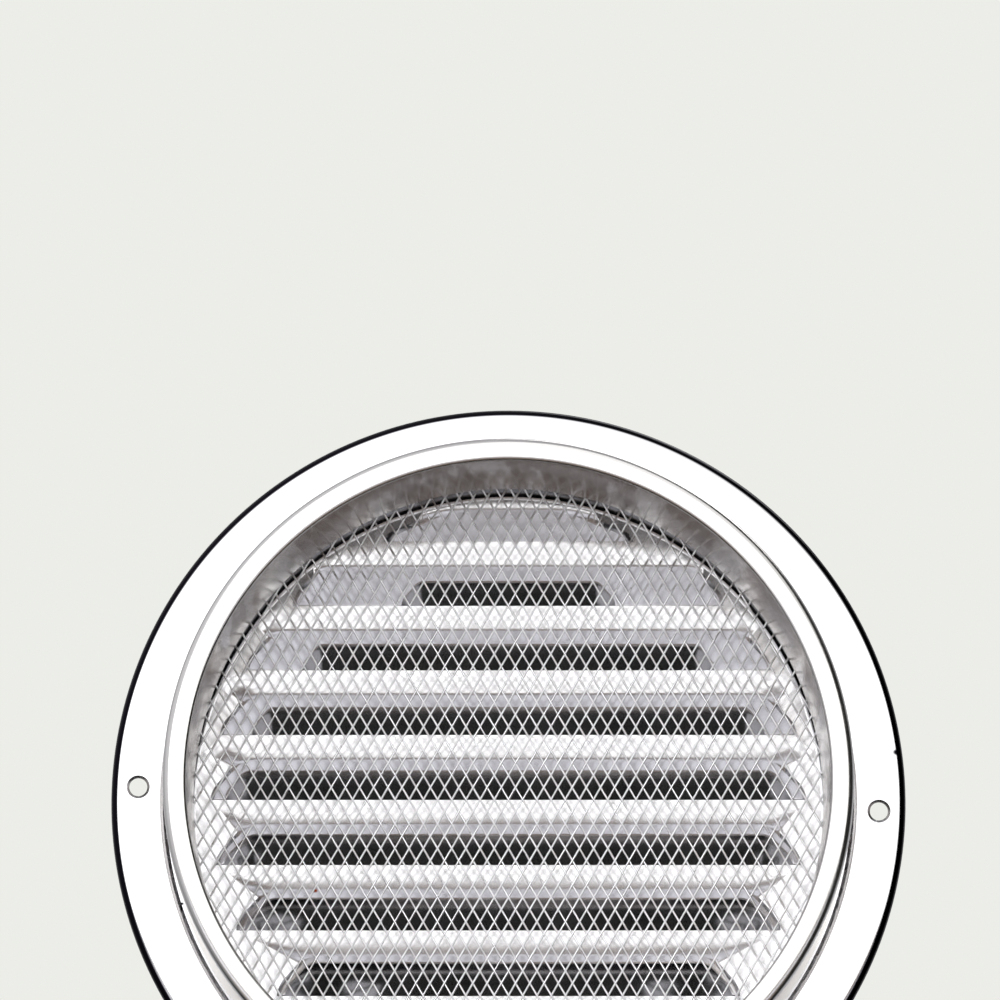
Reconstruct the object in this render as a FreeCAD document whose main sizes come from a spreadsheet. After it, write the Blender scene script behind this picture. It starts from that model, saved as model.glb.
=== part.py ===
"""Round stainless steel vent cover: pressed louvre cover, duct collar with a turned lip, insect mesh.

Frame: origin at the centre of the flange's back face, which meets the wall. +Y points out of the wall,
towards the louvres' hoods, +Z is up and the louvres' mouths face down. Millimetres.
"""
import FreeCAD
import Part
import Sketcher

import itertools
import math
import os

FRONT = FreeCAD.Vector(0, 1, 0)
UP = FreeCAD.Vector(0, 0, 1)
RIGHT = FreeCAD.Vector(1, 0, 0)
# turns a flat outline so that its x runs up and its y runs to the front
UPRIGHT = FreeCAD.Rotation(FRONT, -90)
# turns a cylinder so that it runs from its base to the back
TO_BACK = FreeCAD.Rotation(RIGHT, 90)
QUARTER_TURN = 90
FULL_TURN = 360

SIZES = (
    # the airway through the collar, and the flange round it
    ("duct_radius", 73.2),
    ("flange_radius", 92.5),
    ("cover_sheet", 0.8),
    ("rim_bend", 2.2),
    ("rim_drop", 3.6),
    # the shallow seat in the flange, which takes the mesh's edge and the collar's foot
    ("seat_clearance", 0.5),
    ("seat_slope", 45.0),
    # the recess in the cover, which carries the louvres
    ("recess_step", 1.4),
    ("recess_depth", 14.8),
    ("recess_bend", 1.2),
    # two screw holes on one line through the centre, which leans from the level
    ("screw_edge", 6.3),
    ("screw_hole", 4.2),
    ("screw_lean", 1.9),
    # louvres: pressed hoods, cut along their lower edge, with all cuts ending on one circle
    ("louvre_inset", 3.4),
    ("louvre_sill", 10.2),
    ("louvre_pitch", 15.4),
    ("louvre_run", 10.1),
    ("louvre_fold", 3.5),
    ("louvre_angle", 42.0),
    ("fold_inset", 8.0),
    ("louvre_end", 11.0),
    # the short, shallow louvre above the others
    ("short_run", 4.5),
    ("short_fold", 1.4),
    ("short_angle", 14.0),
    ("short_inset", 1.0),
    ("short_end", 9.0),
    # collar: foot on the mesh's edge, wall, and a lip that is turned out flat and curled at its edge
    ("collar_wall", 0.6),
    ("collar_height", 37.0),
    ("lip_bend", 1.0),
    ("lip_flat", 2.4),
    ("lip_curl", 2.0),
    ("foot_bend", 1.0),
    ("foot_width", 4.4),
    # insect mesh: two layers of slanting strands, held between the foot and the flange
    ("mesh_thickness", 0.8),
    ("mesh_inset", 0.6),
    ("strand_spacing", 15.0),
    ("strand_width", 1.2),
    ("strand_depth", 0.5),
    ("strand_angle", 60.0),
    # how far a cutting tool runs past what it cuts
    ("cut_margin", 1.0),
)

# places that several pieces share
SHEET_FRONT = "(sizes.recess_depth + sizes.cover_sheet)"
RECESS_RADIUS = "(sizes.duct_radius + sizes.recess_step)"
RECESS_OUTER_BEND = "(sizes.recess_bend + sizes.cover_sheet)"
LOUVRE_REACH = f"({RECESS_RADIUS} - sizes.recess_bend - sizes.louvre_inset)"
COLLAR_OUTSIDE = "(sizes.duct_radius + sizes.collar_wall)"
FOOT_RADIUS = f"({COLLAR_OUTSIDE} + sizes.foot_bend + sizes.foot_width)"
MESH_RADIUS = f"({FOOT_RADIUS} - sizes.mesh_inset)"
SCREW_RADIUS = "(sizes.flange_radius - sizes.screw_edge)"
SEAT_DEPTH = "(sizes.mesh_thickness + sizes.collar_wall)"
SEAT_RADIUS = f"({FOOT_RADIUS} + sizes.seat_clearance)"
# kinds of louvre, from the lowest up: name, run, fold, slope, inset of the folds' circle, least end length
LOUVRE_KINDS = (
    ("full", "sizes.louvre_run", "sizes.louvre_fold", "sizes.louvre_angle", "sizes.fold_inset",
     "sizes.louvre_end"),
    ("short", "sizes.short_run", "sizes.short_fold", "sizes.short_angle", "sizes.short_inset",
     "sizes.short_end"),
)

doc = FreeCAD.newDocument("round_vent_cover")
sheet = doc.addObject("Spreadsheet::Sheet", "sizes")
for row, (alias, value) in enumerate(SIZES, start=1):
    sheet.set(f"A{row}", alias)
    sheet.set(f"B{row}", str(value))
    sheet.setAlias(f"B{row}", alias)
doc.recompute()


def bind(thing, **expressions):
    """Ties properties of an object to the sheet. Two underscores stand for a dot."""
    for name, expression in expressions.items():
        thing.setExpression(name.replace("__", "."), expression)


def outline(name, path):
    """A closed sketch. A step is (x, y) for a line that starts there, or (x, y, radius, centre x,
    centre y, turn) for an arc that starts there: turn is +1 counter-clockwise, -1 clockwise."""
    sketch = doc.addObject("Sketcher::SketchObject", name)
    number = sketch.evalExpression
    points = [FreeCAD.Vector(number(step[0]), number(step[1]), 0) for step in path]
    first, last = [], []
    for i, step in enumerate(path):
        start, end = points[i], points[(i + 1) % len(path)]
        turn = 1
        if len(step) == 2:
            sketch.addGeometry(Part.LineSegment(start, end))
        else:
            radius, turn = number(step[2]), step[5]
            centre = FreeCAD.Vector(number(step[3]), number(step[4]), 0)
            angles = [math.atan2(p.y - centre.y, p.x - centre.x) for p in (start, end)]
            sketch.addGeometry(Part.ArcOfCircle(Part.Circle(centre, UP, radius), *angles[::turn]))
            index = sketch.addConstraint(Sketcher.Constraint("Radius", i, radius))
            sketch.renameConstraint(index, f"bend_{i}")
            sketch.setExpression(f"Constraints.bend_{i}", step[2])
        first.append((i, 1 if turn == 1 else 2))
        last.append((i, 2 if turn == 1 else 1))
    for i, step in enumerate(path):
        sketch.addConstraint(Sketcher.Constraint("Coincident", *last[i - 1], *first[i]))
        placing = (("DistanceX", -2, "across", step[0]), ("DistanceY", -1, "along", step[1]))
        for kind, axis, tag, place in placing:
            if place == "0":
                sketch.addConstraint(Sketcher.Constraint("PointOnObject", *first[i], axis))
                continue
            index = sketch.addConstraint(Sketcher.Constraint(kind, -1, 1, *first[i], number(place)))
            sketch.renameConstraint(index, f"{tag}_{i}")
            sketch.setExpression(f"Constraints.{tag}_{i}", place)
    return sketch


def turned(name, path):
    """A ring or dish: an outline of (radius, place along Y), turned about the Y axis."""
    ring = doc.addObject("Part::Revolution", name)
    ring.Source = outline(f"{name}_outline", path)
    ring.Axis = FRONT
    ring.Angle = FULL_TURN
    ring.Solid = True
    return ring


def cylinder(name, radius, length, front="0"):
    """A cylinder about the Y axis that runs from its front end to the back."""
    rod = doc.addObject("Part::Cylinder", name)
    rod.Placement = FreeCAD.Placement(FreeCAD.Vector(), TO_BACK)
    bind(rod, Radius=radius, Height=length, Placement__Base__y=front)
    return rod


def joined(kind, name, pieces):
    """A boolean of several pieces: Part::MultiFuse or Part::MultiCommon."""
    whole = doc.addObject(kind, name)
    whole.Shapes = pieces
    whole.Refine = True
    return whole


def cut(name, base, tool):
    rest = doc.addObject("Part::Cut", name)
    rest.Base = base
    rest.Tool = tool
    rest.Refine = True
    return rest


def dish_path():
    """Half section of the cover before its louvres are pressed: rim, flange, seat, recess wall, plate."""
    rim_in = "sizes.flange_radius - sizes.rim_bend"
    mouth = f"{RECESS_RADIUS} + {RECESS_OUTER_BEND}"
    floor_in = f"{RECESS_RADIUS} - sizes.recess_bend"
    floor_up = "sizes.recess_depth - sizes.recess_bend"
    wall_out = f"{RECESS_RADIUS} + sizes.cover_sheet"
    seat_bend = f"{SEAT_DEPTH} + {RECESS_OUTER_BEND}"
    seat_top = f"{SEAT_RADIUS} + {SEAT_DEPTH} / tan(sizes.seat_slope)"
    slope_shift = "sizes.cover_sheet * tan(sizes.seat_slope / 2)"
    return [
        ("sizes.flange_radius", "sizes.rim_drop"),
        ("sizes.flange_radius", "sizes.rim_bend", "sizes.rim_bend", rim_in, "sizes.rim_bend", -1),
        (rim_in, "0"),
        (seat_top, "0"),
        (SEAT_RADIUS, SEAT_DEPTH),
        (mouth, SEAT_DEPTH, RECESS_OUTER_BEND, mouth, seat_bend, -1),
        (RECESS_RADIUS, seat_bend),
        (RECESS_RADIUS, floor_up, "sizes.recess_bend", floor_in, floor_up, 1),
        (floor_in, "sizes.recess_depth"),
        ("0", "sizes.recess_depth"),
        ("0", SHEET_FRONT),
        (floor_in, SHEET_FRONT, RECESS_OUTER_BEND, floor_in, floor_up, -1),
        (wall_out, floor_up),
        (wall_out, seat_bend, "sizes.recess_bend", mouth, seat_bend, 1),
        (mouth, f"{SEAT_DEPTH} + sizes.cover_sheet"),
        (f"{SEAT_RADIUS} - {slope_shift}", f"{SEAT_DEPTH} + sizes.cover_sheet"),
        (f"{seat_top} - {slope_shift}", "sizes.cover_sheet"),
        (rim_in, "sizes.cover_sheet", "sizes.rim_bend - sizes.cover_sheet", rim_in, "sizes.rim_bend", 1),
        ("sizes.flange_radius - sizes.cover_sheet", "sizes.rim_bend"),
        ("sizes.flange_radius - sizes.cover_sheet", "sizes.rim_drop"),
    ]


def hood_path(run, fold, slope, wall, base):
    """Section of a louvre's hood: up from its cut edge along x, to the front along y, where y is 0 on the
    plate's front. The fold is tangent to the plate, and a slope runs from it to the lip. wall is how far
    the section lies behind the hood's front skin, and base is the y of its foot."""
    bend = f"({fold} + {wall})"
    fold_x = f"({run} - {bend} * sin({slope}))"
    fold_y = f"({fold} - {bend} * cos({slope}))"
    lip = f"({fold_y} + {fold_x} * tan({slope}))"
    return [
        ("0", base),
        (run, base),
        (run, f"{fold} - {bend}", bend, run, fold, -1),
        (fold_x, fold_y),
        ("0", lip),
    ]


def hood_forms(name, path):
    """What the hoods of one kind are placed from: their section, and the section turned a quarter round to
    the right and to the left."""
    section = outline(f"{name}_section", path)
    section.Placement = FreeCAD.Placement(FreeCAD.Vector(), UPRIGHT)
    turns = []
    for side, sign in (("right", 1), ("left", -1)):
        turn = doc.addObject("Part::Revolution", f"{name}_{side}_turn")
        turn.Source = section
        turn.Axis = FRONT * sign
        turn.Angle = QUARTER_TURN
        turn.Solid = True
        turns.append((side, sign, turn))
    return section, turns


def hood(name, forms, level, run, half, end):
    """A hood's volume: its section drawn along the louvre, with a quarter turn at each end that is stretched
    to the end's length."""
    section, turns = forms
    middle = doc.addObject("Part::Extrusion", f"{name}_middle")
    middle.Base = section
    middle.DirMode = "Custom"
    middle.Dir = RIGHT
    middle.Solid = True
    middle.Symmetric = True
    bind(middle, LengthFwd=f"2 * {half}", Placement__Base__y=SHEET_FRONT, Placement__Base__z=level)
    pieces = [middle]
    for side, sign, turn in turns:
        tip = doc.addObject("Part::Scale", f"{name}_{side}_tip")
        tip.Base = turn
        tip.Uniform = False
        bind(tip, XScale=f"{end} / {run}", Placement__Base__x=f"{sign} * {half}",
             Placement__Base__y=SHEET_FRONT, Placement__Base__z=level)
        pieces.append(tip)
    return pieces


def louvre_places(first, run, inset, least_end):
    """Level, half length and end length of each louvre, from step first upwards, for as long as its fold has
    room in the folds' circle."""
    number = sheet.evalExpression
    fold_circle = f"({LOUVRE_REACH} - {inset})"
    for step in itertools.count(first):
        level = f"({step} * sizes.louvre_pitch + sizes.louvre_sill - {LOUVRE_REACH})"
        if math.hypot(number(f"{level} + {run}"), number(least_end)) > number(fold_circle):
            return
        tip = f"sqrt({LOUVRE_REACH}^2 - {level}^2)"
        half = f"min(sqrt({fold_circle}^2 - ({level} + {run})^2); {tip} - {least_end})"
        yield level, half, f"({tip} - {half})"


def louvre_cover():
    skins, hollows = [], []
    hollow_base = "-(sizes.cover_sheet + sizes.cut_margin)"
    placed = 0
    for kind, run, fold, slope, inset, least_end in LOUVRE_KINDS:
        skin = hood_forms(f"{kind}_skin", hood_path(run, fold, slope, "0", "-sizes.cover_sheet"))
        hollow = hood_forms(f"{kind}_hollow", hood_path(run, fold, slope, "sizes.cover_sheet", hollow_base))
        for level, half, end in louvre_places(placed, run, inset, least_end):
            placed += 1
            skins += hood(f"louvre_{placed}_skin", skin, level, run, half, end)
            hollows += hood(f"louvre_{placed}_hollow", hollow, level, run, half, end)
    for side, sign in (("left", "-1"), ("right", "1")):
        drill = cylinder(f"screw_drill_{side}", "sizes.screw_hole / 2",
                         "sizes.cover_sheet + 2 * sizes.cut_margin", "sizes.cover_sheet + sizes.cut_margin")
        bind(drill, Placement__Base__x=f"{sign} * {SCREW_RADIUS} * cos(sizes.screw_lean)",
             Placement__Base__z=f"-({sign}) * {SCREW_RADIUS} * sin(sizes.screw_lean)")
        hollows.append(drill)
    pressed = joined("Part::MultiFuse", "pressed_sheet", [turned("dish", dish_path())] + skins)
    return cut("louvre_cover", pressed, joined("Part::MultiFuse", "cover_cuts", hollows))


def collar():
    """Short duct collar: a foot turned out over the mesh's edge, a straight wall, and a lip turned out flat
    with its edge curled back."""
    lip_top = "-sizes.collar_height"
    lip_under = f"{lip_top} + sizes.collar_wall"
    bend_across = "sizes.duct_radius + sizes.lip_bend"
    bend_along = f"{lip_top} + sizes.lip_bend"
    curl_across = f"{bend_across} + sizes.lip_flat"
    curl_along = f"{lip_top} + sizes.lip_curl"
    curl_out = f"{curl_across} + sizes.lip_curl"
    curl_end = f"{curl_along} + sizes.lip_curl"
    curl_inside = "sizes.lip_curl - sizes.collar_wall"
    foot_across = f"{COLLAR_OUTSIDE} + sizes.foot_bend"
    foot_along = "-sizes.foot_bend"
    return turned("collar", [
        ("sizes.duct_radius", bend_along, "sizes.lip_bend", bend_across, bend_along, 1),
        (bend_across, lip_top),
        (curl_across, lip_top, "sizes.lip_curl", curl_across, curl_along, 1),
        (curl_out, curl_along, "sizes.lip_curl", curl_across, curl_along, 1),
        (curl_across, curl_end),
        (curl_across, f"{curl_end} - sizes.collar_wall", curl_inside, curl_across, curl_along, -1),
        (f"{curl_out} - sizes.collar_wall", curl_along, curl_inside, curl_across, curl_along, -1),
        (curl_across, lip_under),
        (bend_across, lip_under, "sizes.lip_bend - sizes.collar_wall", bend_across, bend_along, -1),
        (COLLAR_OUTSIDE, bend_along),
        (COLLAR_OUTSIDE, foot_along, "sizes.foot_bend", foot_across, foot_along, -1),
        (foot_across, "0"),
        (FOOT_RADIUS, "0"),
        (FOOT_RADIUS, "sizes.collar_wall"),
        (foot_across, "sizes.collar_wall", "sizes.foot_bend + sizes.collar_wall", foot_across, foot_along, 1),
        ("sizes.duct_radius", foot_along),
    ])


def insect_mesh():
    """Strands that slant both ways, one layer over the other, in a flattened edge under the foot."""
    strands = []
    rise = math.sin(math.radians(sheet.strand_angle))
    count = int(sheet.duct_radius / (sheet.strand_spacing * rise))
    length = f"(2 * {MESH_RADIUS})"
    slant = FreeCAD.Placement(FreeCAD.Vector(), FreeCAD.Rotation(FRONT, sheet.strand_angle))
    for layer, lean, back in (("rising", 1, "sizes.strand_depth"), ("falling", -1, "sizes.mesh_thickness")):
        for place in range(-count, count + 1):
            strand = doc.addObject("Part::Box", f"strand_{layer}_{place + count + 1}")
            strand.Placement = slant
            across = f"{place} * sizes.strand_spacing - cos(sizes.strand_angle) * {length} / 2"
            bind(strand, Length=length, Width="sizes.strand_depth", Height="sizes.strand_width",
                 Placement__Rotation__Angle=f"{-lean} * sizes.strand_angle",
                 Placement__Base__x=f"{across} + {lean} * sin(sizes.strand_angle) * sizes.strand_width / 2",
                 Placement__Base__y=f"{SEAT_DEPTH} - {back}",
                 Placement__Base__z=f"-({lean}) * sin(sizes.strand_angle) * {length} / 2"
                                    " - cos(sizes.strand_angle) * sizes.strand_width / 2")
            strands.append(strand)
    disc = cylinder("mesh_disc", COLLAR_OUTSIDE, "sizes.mesh_thickness", SEAT_DEPTH)
    weave = joined("Part::MultiCommon", "weave", [joined("Part::MultiFuse", "strands", strands), disc])
    edge_hole = cylinder("edge_inside", COLLAR_OUTSIDE, "sizes.mesh_thickness + 2 * sizes.cut_margin",
                         f"{SEAT_DEPTH} + sizes.cut_margin")
    edge_disc = cylinder("edge_outside", MESH_RADIUS, "sizes.mesh_thickness", SEAT_DEPTH)
    edge = cut("mesh_edge", edge_disc, edge_hole)
    return joined("Part::MultiFuse", "insect_mesh", [weave, edge])


pieces = [louvre_cover(), collar(), insect_mesh()]
doc.recompute()

for thing in doc.Objects:
    if "Invalid" in thing.State or "Error" in thing.State:
        raise RuntimeError(f"{thing.Name} failed: {thing.State}")
for piece in pieces:
    if piece.Shape.isNull() or not piece.Shape.isValid() or not piece.Shape.Solids:
        raise RuntimeError(f"{piece.Label} is not a valid solid")

os.makedirs("parts", exist_ok=True)
for piece in pieces:
    piece.Shape.exportStep(f"parts/{piece.Label}.step")
    box = piece.Shape.BoundBox
    print(piece.Label, len(piece.Shape.Solids), "solids", round(piece.Shape.Volume, 1), "mm3",
          [round(v, 2) for v in (box.XMin, box.XMax, box.YMin, box.YMax, box.ZMin, box.ZMax)])
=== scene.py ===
"""Round steel vent cover: a pressed louvre cover, a duct collar with a turned lip and a woven insect mesh.

Frame, in metres: origin at the centre of the flange's back face, +Y out of the wall towards the louvres'
hoods, +Z up. The camera looks from the duct side.
"""
import math

import bmesh
import bpy
from bpy.props import FloatProperty, FloatVectorProperty, PointerProperty
from mathutils import Matrix, Vector


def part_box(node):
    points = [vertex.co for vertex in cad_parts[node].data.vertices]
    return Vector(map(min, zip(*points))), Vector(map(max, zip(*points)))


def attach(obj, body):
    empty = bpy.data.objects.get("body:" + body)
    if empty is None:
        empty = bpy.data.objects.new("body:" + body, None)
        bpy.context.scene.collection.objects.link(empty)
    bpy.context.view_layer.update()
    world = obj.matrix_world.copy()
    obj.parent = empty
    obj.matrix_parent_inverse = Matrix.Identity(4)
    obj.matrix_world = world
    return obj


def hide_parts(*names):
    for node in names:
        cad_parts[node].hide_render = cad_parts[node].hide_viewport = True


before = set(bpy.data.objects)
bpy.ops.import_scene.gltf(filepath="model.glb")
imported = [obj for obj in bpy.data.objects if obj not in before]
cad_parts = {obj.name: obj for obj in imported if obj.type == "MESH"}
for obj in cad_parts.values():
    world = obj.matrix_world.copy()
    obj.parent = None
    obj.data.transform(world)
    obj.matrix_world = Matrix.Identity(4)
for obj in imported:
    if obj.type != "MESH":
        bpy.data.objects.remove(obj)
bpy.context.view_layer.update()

bl_info = {
    "name": "Round Vent Cover",
    "version": (1, 0, 0),
    "blender": (4, 5, 0),
    "location": "3D View > Sidebar > Vent",
    "description": "Models and finishes a round steel vent cover with louvres, collar and insect mesh",
    "category": "Object",
}

MM = 0.001
QUARTER_TURN = math.pi / 2
FULL_TURN = 2 * math.pi
AXIS_X = Vector((1, 0, 0))
AXIS_Y = Vector((0, 1, 0))
AXIS_Z = Vector((0, 0, 1))
# steps of a full turn, of a quarter bend, of a hood's round end, of a screw hole and of the floor's edge
ROUND_STEPS = 240
BEND_STEPS = 8
END_STEPS = 14
HOLE_STEPS = 48
FLOOR_STEPS = 96
# steps of a wire from one crossing to the next
WIRE_STEPS = 4
# points closer than this are one point
TOUCH = 0.001 * MM
# edges that turn by more than this stay sharp
SHARP_ANGLE = math.radians(38)
# share of a mark's half size over which it has its full colour
MARK_CORE = 0.55
FLOOR_LEVEL = -0.24
FLOOR_RADIUS = 4.0
# the way from the vent to the room's light part
LIGHT_WAY = (-0.65, -0.35, 0.6)
# ways to the places in front that the louvres' pockets mirror, each with its share of the light there
POCKET_SPOTS = (((0, 0.92, -0.39), 0.06), ((0, 0.99, 0.14), 0.0), ((0, 0.57, -0.82), 0.0))

COVER_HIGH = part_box("louvre_cover")[1]
COLLAR_LOW, COLLAR_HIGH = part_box("collar")
MESH_LOW, MESH_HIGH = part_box("insect_mesh")


def length(name, description, value):
    """A size that a user may change, in metres."""
    return FloatProperty(name=name, description=description, default=value, unit="LENGTH", precision=5)


def angle(name, description, degrees):
    """An angle that a user may change."""
    return FloatProperty(name=name, description=description, default=math.radians(degrees), subtype="ANGLE")


def factor(name, description, value):
    """A share that a user may change."""
    return FloatProperty(name=name, description=description, default=value, min=0, max=1, subtype="FACTOR")


def pixels(name, description, value):
    """A length or a place in the photograph that a user may change."""
    return FloatProperty(name=name, description=description, default=value, subtype="PIXEL")


def linear(code):
    """An sRGB hex colour as linear RGBA."""
    parts = [int(code[i:i + 2], 16) / 255 for i in (1, 3, 5)]
    return tuple(c / 12.92 if c <= 0.04045 else ((c + 0.055) / 1.055) ** 2.4 for c in parts) + (1.0,)


def colour(name, description, code):
    """A colour that a user may change."""
    return FloatVectorProperty(name=name, description=description, default=linear(code), size=4,
                               min=0, max=1, subtype="COLOR")


class CoverSizes(bpy.types.PropertyGroup):
    """Sizes of the pressed cover."""
    flange_radius: length("Flange radius", "From the centre to the flange's edge", COVER_HIGH.x)
    sheet: length("Sheet", "Thickness of the cover's sheet", 0.8 * MM)
    rim_bend: length("Rim bend", "Outer radius of the bend at the flange's edge", 2.2 * MM)
    rim_drop: length("Rim drop", "How far the rim is turned to the front", 3.6 * MM)
    seat_radius: length("Seat radius", "Inside of the step round the mesh's seat", 79.7 * MM)
    seat_depth: length("Seat depth", "From the flange's back to the mesh's seat", MESH_HIGH.y)
    seat_slope: angle("Seat slope", "Slope of the step round the seat", 45)
    recess_radius: length("Recess radius", "Inside of the wall round the louvres", 74.6 * MM)
    recess_depth: length("Recess depth", "From the flange's back to the plate's back", 14.8 * MM)
    recess_bend: length("Recess bend", "Inner radius of the bends of the recess wall", 1.2 * MM)
    screw_radius: length("Screw radius", "From the centre to a screw hole", 86.2 * MM)
    screw_hole: length("Screw hole", "Width of a screw hole", 4.2 * MM)
    screw_draw: length("Screw draw", "How far the punch drew a hole's edge in", 0.6 * MM)
    screw_lean: angle("Screw lean", "How far the holes' line leans from the level", 1.9)
    louvre_reach: length("Louvre reach", "Radius of the circle that the cuts end on", 70.0 * MM)
    louvre_sill: length("Louvre sill", "Height of the lowest cut above that circle's foot", 10.2 * MM)
    louvre_pitch: length("Louvre pitch", "Distance between cut edges", 15.4 * MM)
    louvre_run: length("Louvre run", "Height of a hood above its cut edge", 10.1 * MM)
    louvre_room: length("Louvre room", "Least room above a full hood in that circle", 11.2 * MM)
    louvre_end: length("Louvre end", "Length of a hood's round end", 9.2 * MM)
    panel_angle: angle("Panel angle", "How far a hood's panel leans from the plate", 12.5)
    panel_border: length("Panel border", "Width of the bend round a panel", 0.8 * MM)
    end_flat: factor("End flat", "How far a round end is flattened", 0.14)
    pocket_circle: length("Pocket circle", "Radius of the circle that the pockets end on", 69.5 * MM)
    pocket_shift: length("Pocket shift", "How far that circle's centre lies below the axis", 16.6 * MM)
    pocket_inset: length("Pocket inset", "Least distance from a pocket to its cut's end", 1.5 * MM)
    pocket_slant: length("Pocket slant", "Length of a pocket's slanted end", 5.5 * MM)
    pocket_run: length("Pocket run", "Height of a pocket at the axis", 7.2 * MM)
    pocket_ease: factor("Pocket ease", "Loss of a pocket's height over its level above the axis", 0.02)
    pocket_bend: length("Pocket bend", "Radius of the bend at a pocket's top", 1.0 * MM)
    pocket_depth: length("Pocket depth", "From the plate's back to a hood's lip", 7.6 * MM)
    short_run: length("Short run", "Height of the short louvre's hood", 8.4 * MM)
    short_half: length("Short half", "Half the length of the short louvre's fold", 8.0 * MM)


class CollarSizes(bpy.types.PropertyGroup):
    """Sizes of the collar."""
    radius: length("Radius", "Inside of the collar's wall", 73.2 * MM)
    wall: length("Wall", "Thickness of the collar's sheet", 0.6 * MM)
    rim: length("Rim", "Place of the lip's face along Y", COLLAR_LOW.y)
    lip_bend: length("Lip bend", "Outer radius of the bend from the wall to the lip", 1.0 * MM)
    lip_flat: length("Lip flat", "Flat width of the lip", 2.4 * MM)
    lip_curl: length("Lip curl", "Outer radius of the curl at the lip's edge", 2.0 * MM)
    foot: length("Foot", "Place of the foot's face along Y", COLLAR_HIGH.y)
    foot_bend: length("Foot bend", "Inner radius of the bend above the foot", 1.0 * MM)
    foot_radius: length("Foot radius", "From the centre to the foot's edge", COLLAR_HIGH.x)


class MeshSizes(bpy.types.PropertyGroup):
    """Sizes of the insect mesh."""
    radius: length("Radius", "From the centre to the wires' ends", MESH_HIGH.x - 0.3 * MM)
    wire: length("Wire", "Thickness of a wire", 0.52 * MM)
    pitch: length("Pitch", "Level distance between wires", 3.3 * MM)
    crimp: length("Crimp", "How far a wire waves to each side", 0.15 * MM)
    lean: angle("Lean", "Slant of the wires from the level", 60)


class VentFinishes(bpy.types.PropertyGroup):
    """Colours of the steels and the stage."""
    sheet_steel: colour("Sheet steel", "Bright annealed stainless sheet", "#E4E3E4")
    collar_steel: colour("Collar steel", "Stainless sheet of the collar", "#DEDCDA")
    # painted shade: the collar's inside is darkened to stand in for the shade in the tube and the dark that
    # it mirrors
    collar_inside_shade: colour("Collar, dull", "The collar's inside, dulled by dust", "#85796F")
    wire_steel: colour("Wire steel", "Drawn stainless wire", "#F0F0F2")
    rust: colour("Rust", "Fleck of rust", "#A4481E")
    # painted reflection and painted shade: this dark paints the flange's turned edge and the recess wall,
    # and also two small marks
    dark_shade_and_marks: colour("Grime", "Dark dirt in nicks and at edges", "#16141A")
    floor: colour("Floor", "Matte pale floor", "#C6C6C2")
    backdrop: colour("Backdrop", "Pale surroundings", "#ECEDE8")
    room_dark: colour("Room, dark", "What the steel mirrors of the room", "#0B0A09")
    room_front: colour("Room, front", "What the steel mirrors in front of the vent", "#B8B8BC")
    room_light: colour("Room, light", "What the steel mirrors at the top left", "#E2E2E6")


class PhotoView(bpy.types.PropertyGroup):
    """The camera's place, from the photograph."""
    tilt: angle("Tilt", "How far the camera stands below the collar's axis", 7.8)
    distance: length("Distance", "From the camera to the flange's centre", 1.5)
    focal_length: pixels("Focal length", "Focal length of the camera", 6442)
    centre_across: pixels("Centre across", "Place of the flange's centre, from the left", 508.5)
    centre_down: pixels("Centre down", "Place of the flange's centre, from the top", 799)
    image: pixels("Image", "Width and height of the image", 1000)


def line_to(bm, vert, place):
    """Extrudes a vertex to a place and gives the new end."""
    end = bmesh.ops.extrude_vert_indiv(bm, verts=[vert])["verts"][0]
    end.co = place
    return end


def bend_to(bm, vert, centre, axis, turn):
    """Spins a vertex about a centre and gives the end of the arc."""
    steps = max(2, round(BEND_STEPS * abs(turn) / QUARTER_TURN))
    made = bmesh.ops.spin(bm, geom=[vert], cent=centre, axis=axis, angle=turn, steps=steps)
    return next(part for part in made["geom_last"] if isinstance(part, bmesh.types.BMVert))


def turn_about_axis(bm):
    """Turns everything drawn so far once round the Y axis."""
    bmesh.ops.spin(bm, geom=bm.verts[:] + bm.edges[:], cent=(0, 0, 0), axis=AXIS_Y, angle=FULL_TURN,
                   steps=ROUND_STEPS, use_merge=True)
    bmesh.ops.remove_doubles(bm, verts=bm.verts[:], dist=TOUCH)


def fill_flat(bm, along):
    """Fills the flat of the sheet at a place along Y, between all the open edges that lie there."""
    edges = [edge for edge in bm.edges
             if len(edge.link_faces) < 2 and all(abs(vert.co.y - along) < TOUCH for vert in edge.verts)]
    bmesh.ops.triangle_fill(bm, use_beauty=True, edges=edges)


def smooth_bends(bm):
    """Shades bends and slopes smooth, and leaves the flat fillings flat."""
    for face in bm.faces:
        along = [vert.co.y for vert in face.verts]
        face.smooth = max(along) - min(along) > TOUCH


def smooth_mesh(name, bm):
    """Ends a bmesh as a mesh with its sharp edges marked."""
    mesh = bpy.data.meshes.new(name)
    bm.to_mesh(mesh)
    bm.free()
    mesh.set_sharp_from_angle(angle=SHARP_ANGLE)
    return mesh


def applied(name, data, **modifier):
    """The mesh of an object with this data, with a modifier if one is given."""
    holder = bpy.data.objects.new(name, data)
    bpy.context.scene.collection.objects.link(holder)
    if modifier:
        added = holder.modifiers.new(name, modifier.pop("type"))
        for setting, value in modifier.items():
            setattr(added, setting, value)
    graph = bpy.context.evaluated_depsgraph_get()
    mesh = bpy.data.meshes.new_from_object(holder.evaluated_get(graph))
    bpy.data.objects.remove(holder)
    mesh.name = name
    return mesh


def add_piece(name, mesh, material, node):
    """Puts a finished mesh in the scene in place of a node of the frame."""
    mesh.materials.clear()
    mesh.materials.append(material)
    piece = bpy.data.objects.new(name, mesh)
    bpy.context.scene.collection.objects.link(piece)
    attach(piece, "root")
    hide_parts(node)


def add_node(tree, kind, inputs=(), **settings):
    """Adds a node, with its settings and with inputs that are values or other nodes' outputs."""
    made = tree.nodes.new(kind)
    for setting, value in settings.items():
        setattr(made, setting, value)
    for key, value in dict(inputs).items():
        if isinstance(value, bpy.types.NodeSocket):
            tree.links.new(value, made.inputs[key])
        else:
            made.inputs[key].default_value = value
    return made


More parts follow.
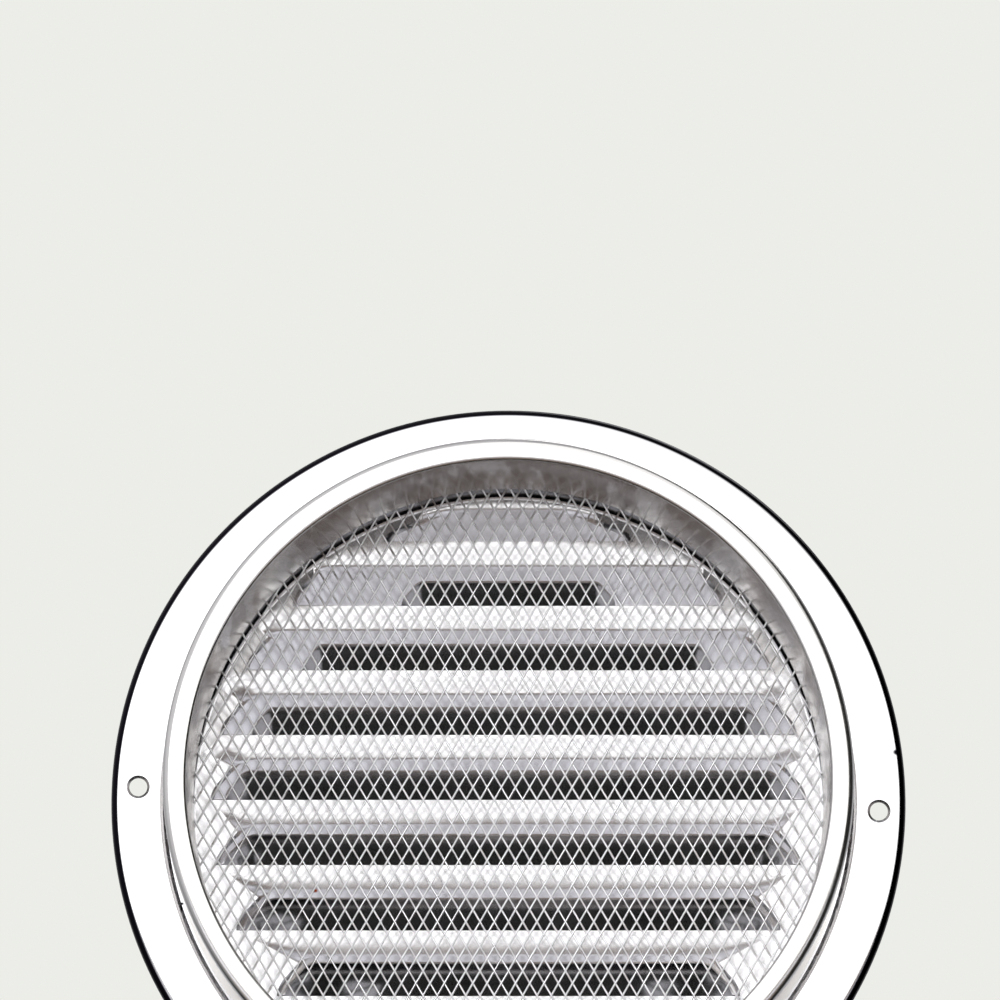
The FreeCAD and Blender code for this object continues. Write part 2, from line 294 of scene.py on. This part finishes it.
def new_material(name):
    """An empty material and its node tree."""
    material = bpy.data.materials.new(name)
    material.use_nodes = True
    material.node_tree.nodes.clear()
    return material, material.node_tree


def distance_from_axis(tree, place):
    """How far a point of a surface lies from the Y axis."""
    across = add_node(tree, "ShaderNodeVectorMath", {0: place, 1: (1, 0, 1)}, operation="MULTIPLY")
    away = add_node(tree, "ShaderNodeVectorMath", {0: across.outputs["Vector"]}, operation="LENGTH")
    return away.outputs["Value"]


def add_marks(tree, place, base, marks):
    """Lays small marks over a colour. Each has its centre and half size in millimetres, and a colour."""
    for centre, size, tint in marks:
        near = add_node(tree, "ShaderNodeMapping", {
            "Vector": place, "Location": [-c / s for c, s in zip(centre, size)],
            "Scale": [1 / (s * MM) for s in size]})
        away = add_node(tree, "ShaderNodeVectorMath", {0: near.outputs["Vector"]}, operation="LENGTH")
        share = add_node(tree, "ShaderNodeMapRange", {
            "Value": away.outputs["Value"], "From Min": 1.0, "From Max": MARK_CORE})
        base = add_node(tree, "ShaderNodeMix", {0: share.outputs["Result"], 6: base, 7: tint},
                        data_type="RGBA").outputs[2]
    return base


def sheet_steel(finishes, edge, recess, depth):
    """Bright annealed stainless sheet, rolled and pressed: a soft mirror with faint waves and smears, with a
    painted dark reflection in a band at the turned edge and painted shade on the wall of the recess."""
    dark_edge_width = 1.7 * MM
    dark_edge_fade = 0.3 * MM
    shaded_wall_reach = 0.45 * MM
    plate_clear = 0.2 * MM
    material, tree = new_material("bright_annealed_steel")
    place = add_node(tree, "ShaderNodeTexCoord").outputs["Object"]
    smears = add_node(tree, "ShaderNodeTexNoise", {"Vector": place, "Scale": 1 / (18 * MM), "Detail": 6.0})
    rough = add_node(tree, "ShaderNodeMapRange", {
        "Value": smears.outputs["Fac"], "From Min": 0.3, "From Max": 0.7, "To Min": 0.12, "To Max": 0.17})
    waves = add_node(tree, "ShaderNodeTexNoise", {"Vector": place, "Scale": 1 / (30 * MM), "Detail": 1.0})
    bump = add_node(tree, "ShaderNodeBump", {
        "Height": waves.outputs["Fac"], "Strength": 0.25, "Distance": 0.2 * MM})
    away = distance_from_axis(tree, place)
    # painted reflection: a dark band at the flange's turned edge, standing in for the dark room that the
    # rounded edge mirrors
    dark_edge = add_node(tree, "ShaderNodeMapRange", {
        "Value": away, "From Min": edge - dark_edge_width, "From Max": edge - dark_edge_width + dark_edge_fade})
    # painted shade: the wall of the recess, behind the plate, is darkened where shade falls
    wall = add_node(tree, "ShaderNodeMath", {0: away, 1: recess, 2: shaded_wall_reach}, operation="COMPARE")
    along = add_node(tree, "ShaderNodeSeparateXYZ", {0: place})
    behind = add_node(tree, "ShaderNodeMath", {
        0: along.outputs["Y"], 1: depth - plate_clear}, operation="LESS_THAN")
    shaded_wall = add_node(tree, "ShaderNodeMath", {
        0: wall.outputs[0], 1: behind.outputs[0]}, operation="MULTIPLY")
    dark = add_node(tree, "ShaderNodeMath", {
        0: shaded_wall.outputs[0], 1: dark_edge.outputs["Result"]}, operation="MAXIMUM")
    steel = add_node(tree, "ShaderNodeMix", {
        0: dark.outputs[0], 6: finishes.sheet_steel, 7: finishes.dark_shade_and_marks}, data_type="RGBA")
    # a fleck of rust on a louvre, and two dark nicks at the flange's edges, the outer one dark by painted
    # reflection
    base = add_marks(tree, place, steel.outputs[2], (
        ((-45.3, 15.5, -19.6), (0.7, 3.0, 0.5), finishes.rust),
        ((90.6, 0.5, 11.0), (1.3, 3.0, 0.9), finishes.dark_shade_and_marks),
        ((-75.8, 0.5, -24.3), (0.5, 3.0, 0.4), finishes.dark_shade_and_marks),
    ))
    shader = add_node(tree, "ShaderNodeBsdfPrincipled", {
        "Base Color": base, "Metallic": 1.0, "Roughness": rough.outputs["Result"],
        "Normal": bump.outputs["Normal"]})
    add_node(tree, "ShaderNodeOutputMaterial", {"Surface": shader.outputs["BSDF"]})
    return material


def collar_steel(finishes, rim, radius):
    """Stainless strip, rolled into a ring: bright at the lip, with painted shade in streaks along its
    inside.
    """
    lip_unshaded = 0.7 * MM
    lip_fade = 0.4 * MM
    inner_skin = 0.3 * MM
    streak_width = 9 * MM
    streak_length = 90 * MM
    material, tree = new_material("rolled_collar_steel")
    place = add_node(tree, "ShaderNodeTexCoord").outputs["Object"]
    smears = add_node(tree, "ShaderNodeTexNoise", {"Vector": place, "Scale": 1 / (9 * MM), "Detail": 5.0})
    rough = add_node(tree, "ShaderNodeMapRange", {
        "Value": smears.outputs["Fac"], "From Min": 0.3, "From Max": 0.7, "To Min": 0.16, "To Max": 0.24})
    drawn = add_node(tree, "ShaderNodeMapping", {
        "Vector": place, "Scale": (1 / streak_width, 1 / streak_length, 1 / streak_width)})
    streaks = add_node(tree, "ShaderNodeTexNoise", {
        "Vector": drawn.outputs["Vector"], "Scale": 1.0, "Detail": 4.0})
    streaky = add_node(tree, "ShaderNodeMapRange", {
        "Value": streaks.outputs["Fac"], "From Min": 0.5, "From Max": 0.56, "To Min": 1.0, "To Max": 0.35})
    along = add_node(tree, "ShaderNodeSeparateXYZ", {0: place})
    below_lip = add_node(tree, "ShaderNodeMapRange", {
        "Value": along.outputs["Y"], "From Min": rim + lip_unshaded, "From Max": rim + lip_unshaded + lip_fade,
        "To Max": streaky.outputs["Result"]})
    away = distance_from_axis(tree, place)
    # painted shade: the collar's inside below the lip, in streaks
    inside = add_node(tree, "ShaderNodeMath", {0: away, 1: radius + inner_skin}, operation="LESS_THAN")
    shaded = add_node(tree, "ShaderNodeMath", {
        0: below_lip.outputs["Result"], 1: inside.outputs[0]}, operation="MULTIPLY")
    steel = add_node(tree, "ShaderNodeMix", {
        0: shaded.outputs[0], 6: finishes.collar_steel, 7: finishes.collar_inside_shade}, data_type="RGBA")
    shader = add_node(tree, "ShaderNodeBsdfPrincipled", {
        "Base Color": steel.outputs[2], "Metallic": 1.0, "Roughness": rough.outputs["Result"]})
    add_node(tree, "ShaderNodeOutputMaterial", {"Surface": shader.outputs["BSDF"]})
    return material


def wire_steel(finishes):
    """Drawn stainless wire, woven: a satin gloss."""
    material, tree = new_material("drawn_wire_steel")
    place = add_node(tree, "ShaderNodeTexCoord").outputs["Object"]
    dirt = add_node(tree, "ShaderNodeTexNoise", {"Vector": place, "Scale": 1 / (6 * MM), "Detail": 3.0})
    rough = add_node(tree, "ShaderNodeMapRange", {
        "Value": dirt.outputs["Fac"], "From Min": 0.3, "From Max": 0.7, "To Min": 0.2, "To Max": 0.4})
    shader = add_node(tree, "ShaderNodeBsdfPrincipled", {
        "Base Color": finishes.wire_steel, "Metallic": 1.0, "Roughness": rough.outputs["Result"]})
    add_node(tree, "ShaderNodeOutputMaterial", {"Surface": shader.outputs["BSDF"]})
    return material


def floor_paint(finishes):
    """Matte pale paint with a faint mottle."""
    material, tree = new_material("matte_floor_paint")
    place = add_node(tree, "ShaderNodeTexCoord").outputs["Object"]
    mottle = add_node(tree, "ShaderNodeTexNoise", {"Vector": place, "Scale": 1 / (150 * MM)})
    rough = add_node(tree, "ShaderNodeMapRange", {
        "Value": mottle.outputs["Fac"], "To Min": 0.8, "To Max": 0.95})
    shader = add_node(tree, "ShaderNodeBsdfPrincipled", {
        "Base Color": finishes.floor, "Roughness": rough.outputs["Result"]})
    add_node(tree, "ShaderNodeOutputMaterial", {"Surface": shader.outputs["BSDF"]})
    return material


def hood_section(bm, sizes, run, wide, height):
    """Draws a hood's section at x = wide, from its fold down to the cut. The panel leans from the plate and,
    where height isn't 0, bends at that height into a pocket."""
    lean = math.tan(sizes.panel_angle)
    border = run - sizes.panel_border
    band = sizes.panel_border / 4
    # a narrow band of faces along each edge of the panel keeps its bends narrow
    rings = [border, border - band]
    if height:
        rings += [height + band, height]
    pen = bm.verts.new((wide, 0, run))
    for ring in rings:
        pen = line_to(bm, pen, (wide, (run - ring) * lean, ring))
    if not height:
        line_to(bm, pen, (wide, run * lean, 0))
        return
    steep = math.atan2(sizes.pocket_depth - pen.co.y, height)
    inward = Vector((0, math.cos(sizes.panel_angle), math.sin(sizes.panel_angle)))
    centre = pen.co + inward * sizes.pocket_bend
    pen = bend_to(bm, pen, centre, AXIS_X, steep - sizes.panel_angle)
    line_to(bm, pen, (wide, sizes.pocket_depth, 0))


def draw_across(bm, wide):
    """Draws a section from x = wide across to x = -wide, and turns a round end at both."""
    right = bm.verts[:] + bm.edges[:]
    drawn = bmesh.ops.extrude_edge_only(bm, edges=bm.edges[:])["geom"]
    left_verts = [part for part in drawn if isinstance(part, bmesh.types.BMVert)]
    bmesh.ops.translate(bm, vec=(-2 * wide, 0, 0), verts=left_verts)
    left = left_verts + [edge for edge in bm.edges if all(vert in left_verts for vert in edge.verts)]
    for side, section in ((1, right), (-1, left)):
        bmesh.ops.spin(bm, geom=section, cent=(side * wide, 0, 0), axis=AXIS_Y, angle=side * QUARTER_TURN,
                       steps=END_STEPS)


def hood_mesh(sizes, level, run, wide, end, pocket):
    """One louvre's hood, as the back face of its sheet: a panel that leans from its fold down to the cut,
    with round ends, and in its lower middle a deep pocket. wide is half the fold's length and end is the
    length of a round end. pocket holds its height, half its upper length and the length of its ends."""
    height, half, slant = pocket
    lean = math.tan(sizes.panel_angle)
    border = run - sizes.panel_border
    bm = bmesh.new()
    hood_section(bm, sizes, run, wide, height)
    draw_across(bm, wide)
    # ends are drawn to their length and flattened, the pocket to its own length, and the panel is kept plane
    for vert in bm.verts:
        across = max(abs(vert.co.x) - wide, 0)
        ring = math.hypot(across, vert.co.z)
        flat = 1 - sizes.end_flat * math.sin(2 * math.atan2(across, vert.co.z)) ** 2
        up = vert.co.z * flat
        in_pocket = height and ring < (height + border) / 2
        straight, stretch = (half, slant / height) if in_pocket else (wide, end / run)
        sunk = (ring - up) * lean * min((run - ring) / sizes.panel_border, 1)
        along = math.copysign(straight + across * stretch * flat, vert.co.x)
        vert.co = (along, sizes.recess_depth + vert.co.y + sunk, level + up)
    bmesh.ops.remove_doubles(bm, verts=bm.verts[:], dist=TOUCH)
    # the plate's edge below the hood's mouth
    tips = [max(bm.verts, key=lambda vert: side * vert.co.x) for side in (-1, 1)]
    bm.edges.new(tips)
    mesh = bpy.data.meshes.new("hood")
    bm.to_mesh(mesh)
    bm.free()
    return mesh


def louvres(sizes):
    """Level, run, half length, end length and pocket of each hood, from the lowest up. Full hoods go on for
    as long as there is room above them, then comes the short one, which has no pocket."""
    level = sizes.louvre_sill - sizes.louvre_reach
    while level + sizes.louvre_run < sizes.louvre_reach - sizes.louvre_room:
        tip = math.sqrt(sizes.louvre_reach ** 2 - level ** 2)
        wide = tip - sizes.louvre_end
        circle = math.sqrt(sizes.pocket_circle ** 2 - (level + sizes.pocket_shift) ** 2)
        mouth = min(circle, tip - sizes.pocket_inset)
        half = min(mouth - sizes.pocket_slant, wide)
        height = sizes.pocket_run - sizes.pocket_ease * level
        yield level, sizes.louvre_run, wide, sizes.louvre_end, (height, half, mouth - half)
        level += sizes.louvre_pitch
    tip = math.sqrt(sizes.louvre_reach ** 2 - level ** 2)
    yield level, sizes.short_run, sizes.short_half, tip - sizes.short_half, (0, 0, 0)


def screw_holes(bm, sizes):
    """Two punched holes in the flange, with edges that are drawn in a little."""
    radius = sizes.screw_hole / 2
    for side in (-1, 1):
        centre = Vector((side * math.cos(sizes.screw_lean), 0, -side * math.sin(sizes.screw_lean)))
        spot = Matrix.Translation(centre * sizes.screw_radius)
        upright = spot @ Matrix.Rotation(QUARTER_TURN, 4, "X")
        outline = bmesh.ops.create_circle(bm, segments=HOLE_STEPS, radius=radius + sizes.screw_draw,
                                          matrix=upright)
        edges = {edge for vert in outline["verts"] for edge in vert.link_edges}
        drawn = bmesh.ops.extrude_edge_only(bm, edges=list(edges))["geom"]
        inner = [part for part in drawn if isinstance(part, bmesh.types.BMVert)]
        share = radius / (radius + sizes.screw_draw)
        bmesh.ops.scale(bm, vec=(share, 1, share), space=spot.inverted(), verts=inner)
        bmesh.ops.translate(bm, vec=AXIS_Y * sizes.screw_draw, verts=inner)


def cover_mesh(sizes):
    """The pressed cover: its back face is drawn, filled and pressed, then given the sheet's thickness."""
    rim_in = sizes.flange_radius - sizes.rim_bend
    outer_bend = sizes.recess_bend + sizes.sheet
    mouth = sizes.recess_radius + outer_bend
    floor_in = sizes.recess_radius - sizes.recess_bend
    floor_up = sizes.recess_depth - sizes.recess_bend
    bm = bmesh.new()
    pen = bm.verts.new((sizes.flange_radius, sizes.rim_drop, 0))
    pen = line_to(bm, pen, (sizes.flange_radius, sizes.rim_bend, 0))
    bend_to(bm, pen, (rim_in, sizes.rim_bend, 0), AXIS_Z, -QUARTER_TURN)
    pen = bm.verts.new((sizes.seat_radius + sizes.seat_depth / math.tan(sizes.seat_slope), 0, 0))
    pen = line_to(bm, pen, (sizes.seat_radius, sizes.seat_depth, 0))
    pen = line_to(bm, pen, (mouth, sizes.seat_depth, 0))
    pen = bend_to(bm, pen, (mouth, sizes.seat_depth + outer_bend, 0), AXIS_Z, -QUARTER_TURN)
    pen = line_to(bm, pen, (sizes.recess_radius, floor_up, 0))
    bend_to(bm, pen, (floor_in, floor_up, 0), AXIS_Z, QUARTER_TURN)
    turn_about_axis(bm)
    screw_holes(bm, sizes)
    fill_flat(bm, 0)
    for hood in louvres(sizes):
        mesh = hood_mesh(sizes, *hood)
        bm.from_mesh(mesh)
        bpy.data.meshes.remove(mesh)
    fill_flat(bm, sizes.recess_depth)
    smooth_bends(bm)
    bmesh.ops.recalc_face_normals(bm, faces=bm.faces[:])
    flange = next(face for face in bm.faces if all(abs(vert.co.y) < TOUCH for vert in face.verts))
    if flange.normal.y > 0:
        bmesh.ops.reverse_faces(bm, faces=bm.faces[:])
    sheet = applied("pressed_cover", smooth_mesh("cover_back", bm), type="SOLIDIFY", thickness=sizes.sheet,
                    offset=-1)
    sheet.set_sharp_from_angle(angle=SHARP_ANGLE)
    return sheet


def collar_mesh(sizes):
    """The collar: its section, with the turned lip and the foot, turned round the axis."""
    outside = sizes.radius + sizes.wall
    bend = Vector((sizes.radius + sizes.lip_bend, sizes.rim + sizes.lip_bend, 0))
    curl = Vector((bend.x + sizes.lip_flat, sizes.rim + sizes.lip_curl, 0))
    foot = Vector((outside + sizes.foot_bend, sizes.foot - sizes.wall - sizes.foot_bend, 0))
    bm = bmesh.new()
    start = bm.verts.new((sizes.radius, foot.y, 0))
    pen = line_to(bm, start, (sizes.radius, bend.y, 0))
    pen = bend_to(bm, pen, bend, AXIS_Z, QUARTER_TURN)
    pen = line_to(bm, pen, (curl.x, sizes.rim, 0))
    pen = bend_to(bm, pen, curl, AXIS_Z, 2 * QUARTER_TURN)
    pen = line_to(bm, pen, (curl.x, curl.y + sizes.lip_curl - sizes.wall, 0))
    pen = bend_to(bm, pen, curl, AXIS_Z, -2 * QUARTER_TURN)
    pen = line_to(bm, pen, (bend.x, sizes.rim + sizes.wall, 0))
    pen = bend_to(bm, pen, bend, AXIS_Z, -QUARTER_TURN)
    pen = line_to(bm, pen, (outside, foot.y, 0))
    pen = bend_to(bm, pen, foot, AXIS_Z, -QUARTER_TURN)
    pen = line_to(bm, pen, (sizes.foot_radius, sizes.foot - sizes.wall, 0))
    pen = line_to(bm, pen, (sizes.foot_radius, sizes.foot, 0))
    pen = line_to(bm, pen, (foot.x, sizes.foot, 0))
    pen = bend_to(bm, pen, foot, AXIS_Z, QUARTER_TURN)
    bm.edges.new((pen, start))
    bmesh.ops.remove_doubles(bm, verts=bm.verts[:], dist=TOUCH)
    turn_about_axis(bm)
    bmesh.ops.recalc_face_normals(bm, faces=bm.faces[:])
    smooth_bends(bm)
    return smooth_mesh("duct_collar", bm)


def mesh_wires(sizes):
    """Two families of crimped wires that lean to both sides and pass over and under each other."""
    middle = (MESH_LOW.y + MESH_HIGH.y) / 2
    weave = bpy.data.curves.new("weave", "CURVE")
    weave.dimensions = "3D"
    weave.bevel_depth = sizes.wire / 2
    weave.bevel_resolution = 1
    weave.use_fill_caps = True
    crossing = sizes.pitch / (2 * math.cos(sizes.lean))
    reach = int(sizes.radius / (sizes.pitch * math.sin(sizes.lean)))
    for lean in (1, -1):
        along = Vector((lean * math.cos(sizes.lean), 0, math.sin(sizes.lean)))
        for place in range(-reach, reach + 1):
            root = AXIS_X * place * sizes.pitch
            nearest = -root.dot(along)
            chord = math.sqrt(sizes.radius ** 2 - (root + along * nearest).length_squared)
            steps = max(2, round(2 * chord / crossing * WIRE_STEPS))
            wire = weave.splines.new("POLY")
            wire.points.add(steps)
            for number, point in enumerate(wire.points):
                run = nearest + chord * (2 * number / steps - 1)
                crimp = lean * sizes.crimp * math.cos(math.pi * run / crossing)
                point.co = (*(root + along * run + AXIS_Y * (middle + crimp)), 1)
    mesh = applied("woven_mesh", weave)
    mesh.shade_smooth()
    return mesh


class VENT_OT_cover(bpy.types.Operator):
    """Model and finish the pressed louvre cover"""
    bl_idname = "vent.cover"
    bl_label = "Louvre cover"

    def execute(self, context):
        sizes = context.scene.vent_cover
        steel = sheet_steel(context.scene.vent_finishes, sizes.flange_radius, sizes.recess_radius,
                            sizes.recess_depth)
        add_piece("pressed_cover", cover_mesh(sizes), steel, "louvre_cover")
        return {"FINISHED"}


class VENT_OT_collar(bpy.types.Operator):
    """Model and finish the duct collar"""
    bl_idname = "vent.collar"
    bl_label = "Duct collar"

    def execute(self, context):
        sizes = context.scene.vent_collar
        steel = collar_steel(context.scene.vent_finishes, sizes.rim, sizes.radius)
        add_piece("duct_collar", collar_mesh(sizes), steel, "collar")
        return {"FINISHED"}


class VENT_OT_mesh(bpy.types.Operator):
    """Weave and finish the insect mesh"""
    bl_idname = "vent.mesh"
    bl_label = "Insect mesh"

    def execute(self, context):
        mesh = mesh_wires(context.scene.vent_mesh)
        add_piece("woven_mesh", mesh, wire_steel(context.scene.vent_finishes), "insect_mesh")
        return {"FINISHED"}


def add_softbox(name, place, facing, size, brightness, tint="#FFFFFF"):
    """A soft lamp or a lit card that faces a point. Its brightness is what a mirror shows of it."""
    lamp = bpy.data.lights.new(name, "AREA")
    lamp.shape = "RECTANGLE"
    lamp.size, lamp.size_y = size
    lamp.energy = brightness * math.pi * lamp.size * lamp.size_y
    lamp.color = linear(tint)[:3]
    box = bpy.data.objects.new(name, lamp)
    box.location = place
    box.rotation_euler = (Vector(facing) - Vector(place)).to_track_quat("-Z", "Y").to_euler()
    box.visible_camera = False
    bpy.context.scene.collection.objects.link(box)


def add_floor(finishes):
    """A plain round floor below the vent."""
    bm = bmesh.new()
    bmesh.ops.create_circle(bm, cap_ends=True, segments=FLOOR_STEPS, radius=FLOOR_RADIUS,
                            matrix=Matrix.Translation(AXIS_Z * FLOOR_LEVEL))
    mesh = bpy.data.meshes.new("floor")
    bm.to_mesh(mesh)
    bm.free()
    mesh.materials.append(floor_paint(finishes))
    floor = bpy.data.objects.new("floor", mesh)
    bpy.context.scene.collection.objects.link(floor)
    # the polished steel faces the room and the cards below, not the floor
    floor.visible_glossy = False
    floor.visible_shadow = False


def add_surroundings(finishes):
    """Pale to the camera and the floor. To the steel, a dark room, lighter at the top left and in front."""
    world = bpy.data.worlds.new("studio")
    bpy.context.scene.world = world
    world.use_nodes = True
    tree = world.node_tree
    tree.nodes.clear()
    rays = add_node(tree, "ShaderNodeLightPath")
    direction = add_node(tree, "ShaderNodeTexCoord").outputs["Generated"]
    towards = add_node(tree, "ShaderNodeVectorMath", {0: direction, 1: LIGHT_WAY}, operation="DOT_PRODUCT")
    share = add_node(tree, "ShaderNodeMapRange", {
        "Value": towards.outputs["Value"], "From Min": 0.2, "From Max": 0.8})
    tone = add_node(tree, "ShaderNodeMix", {
        0: share.outputs["Result"], 6: finishes.room_dark, 7: finishes.room_light}, data_type="RGBA")
    ahead = add_node(tree, "ShaderNodeSeparateXYZ", {0: direction})
    front = add_node(tree, "ShaderNodeMapRange", {
        "Value": ahead.outputs["Y"], "From Min": 0.25, "From Max": 0.5})
    lit = front.outputs["Result"]
    for spot, light in POCKET_SPOTS:
        near = add_node(tree, "ShaderNodeVectorMath", {0: direction, 1: spot}, operation="DOT_PRODUCT")
        lit = add_node(tree, "ShaderNodeMapRange", {
            "Value": near.outputs["Value"], "From Min": 0.9, "From Max": 0.94,
            "To Min": lit, "To Max": light}).outputs["Result"]
    whole = add_node(tree, "ShaderNodeMix", {
        0: lit, 6: tone.outputs[2], 7: finishes.room_front}, data_type="RGBA")
    room = add_node(tree, "ShaderNodeBackground", {"Color": whole.outputs[2]})
    backdrop = add_node(tree, "ShaderNodeBackground", {"Color": finishes.backdrop})
    mixed = add_node(tree, "ShaderNodeMixShader", {
        "Fac": rays.outputs["Is Glossy Ray"], 1: backdrop.outputs["Background"],
        2: room.outputs["Background"]})
    add_node(tree, "ShaderNodeOutputWorld", {"Surface": mixed.outputs["Shader"]})


def add_camera(view):
    """The camera stands below the axis and is turned until the flange's centre falls on its pixel."""
    lens = bpy.data.cameras.new("camera")
    lens.sensor_width = 36
    lens.lens = lens.sensor_width * view.focal_length / view.image
    lens.clip_start = 0.01
    camera = bpy.data.objects.new("camera", lens)
    camera.location = Vector((0, -math.cos(view.tilt), -math.sin(view.tilt))) * view.distance
    turn_up = view.tilt + math.atan2(view.centre_down - view.image / 2, view.focal_length)
    turn_left = math.atan2(view.centre_across - view.image / 2, view.focal_length)
    camera.rotation_euler = (QUARTER_TURN + turn_up, 0, turn_left)
    bpy.context.scene.collection.objects.link(camera)
    bpy.context.scene.camera = camera


class VENT_OT_stage(bpy.types.Operator):
    """Set up the floor, the lights, the surroundings and the camera"""
    bl_idname = "vent.stage"
    bl_label = "Stage"

    def execute(self, context):
        finishes = context.scene.vent_finishes
        context.scene.view_settings.view_transform = "Standard"
        add_floor(finishes)
        add_surroundings(finishes)
        # the flat flange, lip and plate mirror the key
        add_softbox("key_softbox", place=(0, -1.4, 0.28), facing=(0, 0, 0.28), size=(2.6, 0.73),
                    brightness=1.7)
        add_softbox("upper_card", place=(0, -1.0, 0.95), facing=(0, 0, 0), size=(2.6, 0.92), brightness=0.85)
        # the collar's inside and the folds mirror the dim card
        add_softbox("dim_card", place=(0.25, -1.45, -0.195), facing=(0.25, 0, -0.195), size=(1.6, 0.2),
                    brightness=0.25, tint="#F0DACC")
        # the leaning panels mirror the low card
        add_softbox("low_card", place=(0, -1.4, -0.49), facing=(0, 0, -0.49), size=(3.4, 0.39),
                    brightness=1.05, tint="#F2F2FA")
        add_softbox("deep_card", place=(0, -0.75, -0.73), facing=(0, 0, 0), size=(2.4, 0.62),
                    brightness=0.3, tint="#F0DACC")
        add_softbox("front_softbox", place=(0.8, 0.9, 1.9), facing=(0, 0, 0), size=(1.5, 1.2),
                    brightness=2.0)
        add_camera(context.scene.vent_view)
        return {"FINISHED"}


OPERATORS = (VENT_OT_cover, VENT_OT_collar, VENT_OT_mesh, VENT_OT_stage)
SETTINGS = {
    "vent_cover": CoverSizes,
    "vent_collar": CollarSizes,
    "vent_mesh": MeshSizes,
    "vent_finishes": VentFinishes,
    "vent_view": PhotoView,
}


class VENT_PT_panel(bpy.types.Panel):
    """Lists the vent cover's pieces and settings"""
    bl_idname = "VENT_PT_panel"
    bl_label = "Round Vent Cover"
    bl_space_type = "VIEW_3D"
    bl_region_type = "UI"
    bl_category = "Vent"

    def draw(self, context):
        for operator in OPERATORS:
            self.layout.operator(operator.bl_idname)
        for group, kind in SETTINGS.items():
            box = self.layout.box()
            for setting in kind.__annotations__:
                box.prop(getattr(context.scene, group), setting)


def register():
    for kind in (*SETTINGS.values(), *OPERATORS, VENT_PT_panel):
        bpy.utils.register_class(kind)
    for group, kind in SETTINGS.items():
        setattr(bpy.types.Scene, group, PointerProperty(type=kind))


def unregister():
    for group in SETTINGS:
        delattr(bpy.types.Scene, group)
    for kind in (VENT_PT_panel, *reversed(OPERATORS), *reversed(SETTINGS.values())):
        bpy.utils.unregister_class(kind)


def main():
    """Makes the pieces and the stage."""
    register()
    bpy.ops.vent.cover()
    bpy.ops.vent.collar()
    bpy.ops.vent.mesh()
    bpy.ops.vent.stage()


if __name__ == "__main__":
    main()
